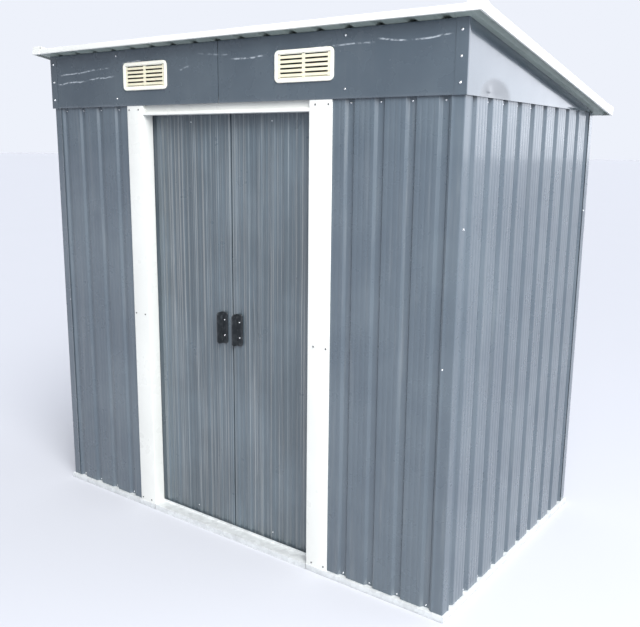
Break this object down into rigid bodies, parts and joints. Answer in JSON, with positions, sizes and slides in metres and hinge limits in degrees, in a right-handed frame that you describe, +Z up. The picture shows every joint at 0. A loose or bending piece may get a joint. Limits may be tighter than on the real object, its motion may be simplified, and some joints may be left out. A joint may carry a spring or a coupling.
{
  "type": "pent-roofed metal storage shed with sliding doors",
  "caption": "Storage shed of ribbed sheet steel with a roof that slopes to the back, a vented fascia and a pair of sliding doors between white jambs.",
  "frame": {"origin": "on the ground, under the middle of the shed's plan", "axes": "+X to the right along the front, +Y from the doors to the back wall, +Z up"},
  "size_m": [1.93, 1.164, 1.8082],
  "materials": {
    "slate_paint": "gloss",
    "door_paint": "satin",
    "roof_paint": "gloss",
    "white_paint": "gloss",
    "galvanised": "satin",
    "vent_plastic": "satin",
    "handle_plastic": "satin",
    "glider_plastic": "matte"
  },
  "bodies": {
    "shed": {"base_rails": "galvanised", "door_sill": "galvanised", "door_guide_rail": "galvanised", "front_wall_left": "slate_paint", "front_wall_right": "slate_paint", "left_wall_front_sheet": "slate_paint", "left_wall_rear_sheet": "slate_paint", "right_wall_front_sheet": "slate_paint", "right_wall_rear_sheet": "slate_paint", "back_wall_left_sheet": "slate_paint", "back_wall_right_sheet": "slate_paint", "corner_trims_front": "slate_paint", "corner_trims_back": "slate_paint", "corner_posts": "galvanised", "mid_rails": "galvanised", "top_rails": "galvanised", "front_top_rail": "galvanised", "door_track": "galvanised", "door_jamb_left": "white_paint", "door_jamb_right": "white_paint", "door_header": "white_paint", "fascia_left": "slate_paint", "fascia_right": "slate_paint", "gable_left": "slate_paint", "gable_right": "slate_paint", "vent_left": "vent_plastic", "vent_right": "vent_plastic", "roof_sheet_1": "roof_paint", "roof_sheet_2": "roof_paint", "roof_sheet_3": "roof_paint", "roof_sheet_4": "roof_paint", "roof_beams": "galvanised", "roof_trim_front": "white_paint", "roof_trim_back": "white_paint", "roof_trim_left": "white_paint", "roof_trim_right": "white_paint", "roof_corner_caps": "white_paint"},
    "left_door": {"door_left_sheet": "door_paint", "door_left_frame": "galvanised", "door_left_gliders": "glider_plastic", "door_left_handle": "handle_plastic"},
    "right_door": {"door_right_sheet": "door_paint", "door_right_frame": "galvanised", "door_right_gliders": "glider_plastic", "door_right_handle": "handle_plastic"}
  },
  "joints": [
    {"name": "left_door_slide", "type": "slide", "parent": "shed", "child": "left_door", "axis": [-1, 0, 0], "range_m": [0, 0.32]},
    {"name": "right_door_slide", "type": "slide", "parent": "shed", "child": "right_door", "axis": [1, 0, 0], "range_m": [0, 0.32]}
  ]
}
